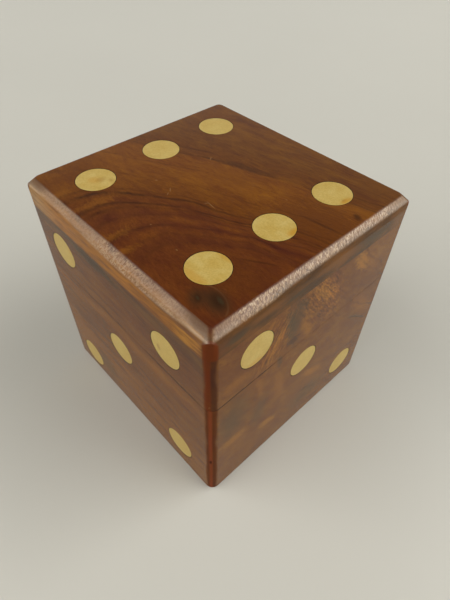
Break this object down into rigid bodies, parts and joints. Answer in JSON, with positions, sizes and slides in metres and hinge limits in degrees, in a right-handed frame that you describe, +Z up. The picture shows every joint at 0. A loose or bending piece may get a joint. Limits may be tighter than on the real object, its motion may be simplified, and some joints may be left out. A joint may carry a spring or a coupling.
{
  "type": "wooden puzzle box",
  "caption": "Die-shaped hardwood puzzle box with inlaid pips, a lift-off lid over a liner rim and loose lock pins freed by spinning the box.",
  "frame": {"origin": "centre of the underside of the closed box", "axes": "+Z up, -Y the front face with five pips, +X the right-hand face with three pips"},
  "size_m": [0.076, 0.0724, 0.076],
  "materials": {
    "lid_top": "hand-rubbed satin polish on red-brown Indian rosewood",
    "side_boards": "satin polish on figured Indian rosewood with orange and grey streaks",
    "bottom_board": "satin polish on Indian rosewood",
    "liner": "bare sanded hardwood",
    "pips": "polished pale yellow hardwood, flush",
    "lock_pins": "plain drawn steel pin"
  },
  "bodies": {
    "base": {"base_bottom_board": "bottom_board", "base_front_wall": "side_boards", "base_right_wall": "side_boards", "base_back_wall": "side_boards", "base_left_wall": "side_boards", "liner_front": "liner", "liner_right": "liner", "liner_back": "liner", "liner_left": "liner", "pip_front_middle": "pips", "pip_front_lower_left": "pips", "pip_front_lower_right": "pips", "pip_right_middle": "pips", "pip_right_lower": "pips", "pip_back_lower": "pips", "pip_left_lower_front": "pips", "pip_left_lower_back": "pips", "pip_bottom": "pips"},
    "lid": {"lid_top_board": "lid_top", "lid_front_wall": "side_boards", "lid_right_wall": "side_boards", "lid_back_wall": "side_boards", "lid_left_wall": "side_boards", "pip_top_left_back": "pips", "pip_top_left_middle": "pips", "pip_top_left_front": "pips", "pip_top_right_back": "pips", "pip_top_right_middle": "pips", "pip_top_right_front": "pips", "pip_front_upper_left": "pips", "pip_front_upper_right": "pips", "pip_right_upper": "pips", "pip_back_upper": "pips", "pip_left_upper_front": "pips", "pip_left_upper_back": "pips"},
    "right_pin": {"lock_pin_right": "lock_pins"},
    "left_pin": {"lock_pin_left": "lock_pins"}
  },
  "joints": [
    {"name": "lid_lift", "type": "slide", "parent": "base", "child": "lid", "axis": [0, 0, 1], "range_m": [0, 0.06]},
    {"name": "right_pin_slide", "type": "slide", "parent": "lid", "child": "right_pin", "axis": [-1, 0, 0], "range_m": [0, 0.0028]},
    {"name": "left_pin_slide", "type": "slide", "parent": "lid", "child": "left_pin", "axis": [1, 0, 0], "range_m": [0, 0.0028]}
  ]
}
